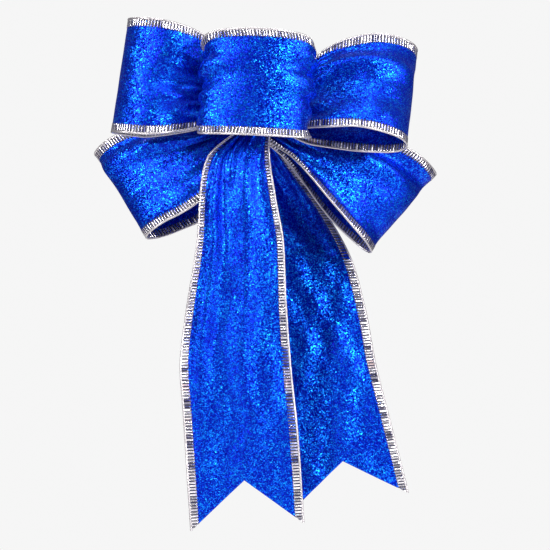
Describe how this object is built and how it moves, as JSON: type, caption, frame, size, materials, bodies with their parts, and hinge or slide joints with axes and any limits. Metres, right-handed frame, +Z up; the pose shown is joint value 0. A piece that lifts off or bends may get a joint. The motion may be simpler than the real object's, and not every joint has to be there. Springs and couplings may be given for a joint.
{
  "type": "pre-made gift bow",
  "caption": "Ready-made gift bow of wired glitter ribbon with looped ears, a forward centre loop, notched tails and a twist tie behind the knot.",
  "frame": {"origin": "at the back of the knot, where the twisted tie leaves it", "axes": "+X to the right of the bow seen from the front, +Y out of the bow's back along the twisted tie, +Z up; the front faces -Y and the tails hang down"},
  "size_m": [0.1666, 0.0791, 0.2399],
  "materials": {
    "glitter_ribbon": "royal blue glitter on a woven ground",
    "silver_edging": "silver metallic thread, stitched across",
    "wrapped_wire": "fine wire wrapped in silver thread",
    "tie_core": "soft annealed wire",
    "tie_coating": "smooth plastic coating"
  },
  "bodies": {
    "knot": {"knot_gather": "glitter_ribbon", "tie_wrap_core": "tie_core", "tie_wrap_coating": "tie_coating", "tie_left_twist_core": "tie_core", "tie_left_twist_coating": "tie_coating", "tie_right_twist_core": "tie_core", "tie_right_twist_coating": "tie_coating"},
    "upper_left_loop": {"upper_left_loop_web": "glitter_ribbon", "upper_left_loop_lower_edging": "silver_edging", "upper_left_loop_upper_edging": "silver_edging", "upper_left_loop_lower_wire": "wrapped_wire", "upper_left_loop_upper_wire": "wrapped_wire"},
    "upper_right_loop": {"upper_right_loop_web": "glitter_ribbon", "upper_right_loop_lower_edging": "silver_edging", "upper_right_loop_upper_edging": "silver_edging", "upper_right_loop_lower_wire": "wrapped_wire", "upper_right_loop_upper_wire": "wrapped_wire"},
    "lower_left_loop": {"lower_left_loop_web": "glitter_ribbon", "lower_left_loop_lower_edging": "silver_edging", "lower_left_loop_upper_edging": "silver_edging", "lower_left_loop_lower_wire": "wrapped_wire", "lower_left_loop_upper_wire": "wrapped_wire"},
    "lower_right_loop": {"lower_right_loop_web": "glitter_ribbon", "lower_right_loop_lower_edging": "silver_edging", "lower_right_loop_upper_edging": "silver_edging", "lower_right_loop_lower_wire": "wrapped_wire", "lower_right_loop_upper_wire": "wrapped_wire"},
    "centre_loop": {"centre_loop_web": "glitter_ribbon", "centre_loop_lower_edging": "silver_edging", "centre_loop_upper_edging": "silver_edging", "centre_loop_lower_wire": "wrapped_wire", "centre_loop_upper_wire": "wrapped_wire"},
    "left_tail": {"left_tail_web": "glitter_ribbon", "left_tail_left_edging": "silver_edging", "left_tail_right_edging": "silver_edging", "left_tail_left_wire": "wrapped_wire", "left_tail_right_wire": "wrapped_wire"},
    "right_tail": {"right_tail_web": "glitter_ribbon", "right_tail_left_edging": "silver_edging", "right_tail_right_edging": "silver_edging", "right_tail_left_wire": "wrapped_wire", "right_tail_right_wire": "wrapped_wire"},
    "tie_left_leg": {"tie_left_leg_core": "tie_core", "tie_left_leg_coating": "tie_coating"},
    "tie_right_leg": {"tie_right_leg_core": "tie_core", "tie_right_leg_coating": "tie_coating"}
  },
  "joints": [
    {"name": "upper_left_loop_lift", "type": "hinge", "parent": "knot", "child": "upper_left_loop", "pos_m": [0, -0.008, 0], "axis": [0, 1, 0], "range_deg": [0, 12]},
    {"name": "upper_right_loop_lift", "type": "hinge", "parent": "knot", "child": "upper_right_loop", "pos_m": [0, -0.008, 0], "axis": [0, -1, 0], "range_deg": [0, 12]},
    {"name": "lower_left_loop_drop", "type": "hinge", "parent": "knot", "child": "lower_left_loop", "pos_m": [0, -0.008, 0], "axis": [0, -1, 0], "range_deg": [0, 10]},
    {"name": "lower_right_loop_drop", "type": "hinge", "parent": "knot", "child": "lower_right_loop", "pos_m": [0, -0.008, 0], "axis": [0, 1, 0], "range_deg": [0, 10]},
    {"name": "centre_loop_nod", "type": "hinge", "parent": "knot", "child": "centre_loop", "pos_m": [0, -0.008, 0], "axis": [1, 0, 0], "range_deg": [-3, 5]},
    {"name": "left_tail_swing", "type": "hinge", "parent": "knot", "child": "left_tail", "pos_m": [0, -0.008, 0], "axis": [-1, 0, 0], "range_deg": [0, 12]},
    {"name": "right_tail_swing", "type": "hinge", "parent": "knot", "child": "right_tail", "pos_m": [0, -0.008, 0], "axis": [1, 0, 0], "range_deg": [0, 30]},
    {"name": "tie_left_leg_bend", "type": "hinge", "parent": "knot", "child": "tie_left_leg", "pos_m": [-0.00065, 0.00733, 0], "axis": [1, 0, 0], "range_deg": [-60, 5]},
    {"name": "tie_right_leg_bend", "type": "hinge", "parent": "knot", "child": "tie_right_leg", "pos_m": [0.00065, 0.00733, 0], "axis": [1, 0, 0], "range_deg": [-60, 5]}
  ]
}
